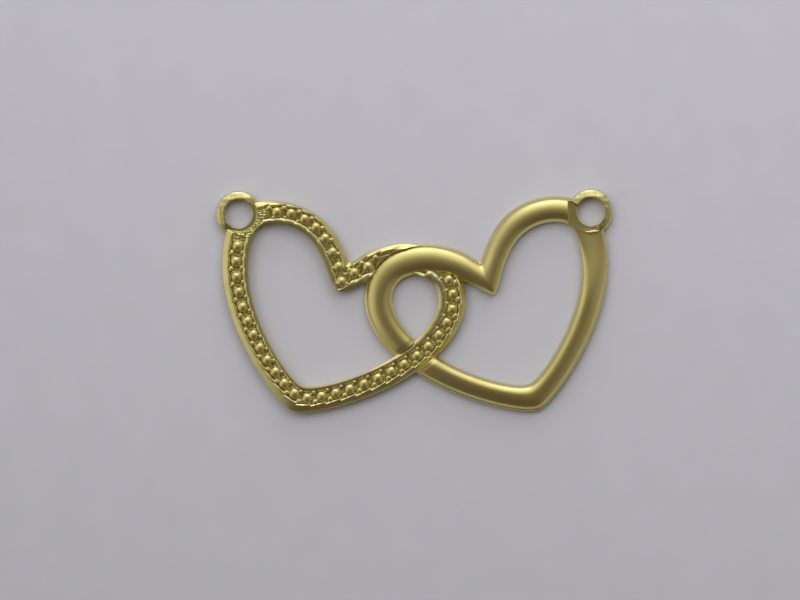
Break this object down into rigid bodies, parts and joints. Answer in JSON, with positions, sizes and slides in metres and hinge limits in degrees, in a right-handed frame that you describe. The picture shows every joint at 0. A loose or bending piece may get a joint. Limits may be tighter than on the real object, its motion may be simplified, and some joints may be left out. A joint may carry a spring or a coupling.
{
  "type": "double heart charm",
  "caption": "Interlinked heart connector in raw brass: a channelled heart with a row of beads laps over and under a smooth half-round heart, with an eyelet on each outer shoulder.",
  "frame": {"origin": "middle of the charm's outline, on the plane of its flat back", "axes": "+X from the beaded heart to the plain heart, +Y towards the eyelets, +Z out of the flat back through the domed face"},
  "size_m": [0.0362, 0.0202, 0.0017],
  "materials": {
    "beaded_brass": "raw struck brass, satin on the flanks and brighter on the rims and beads",
    "plain_brass": "raw brass, satin, with soft reflections along the half-round",
    "beaded_heart_eyelet_brass": "raw brass, satin, with burrs and small facets",
    "plain_heart_eyelet_brass": "raw brass, satin, with burrs and small facets"
  },
  "bodies": {
    "root": {"beaded_heart": "beaded_brass", "plain_heart": "plain_brass", "beaded_heart_eyelet": "beaded_heart_eyelet_brass", "plain_heart_eyelet": "plain_heart_eyelet_brass"}
  },
  "joints": []
}
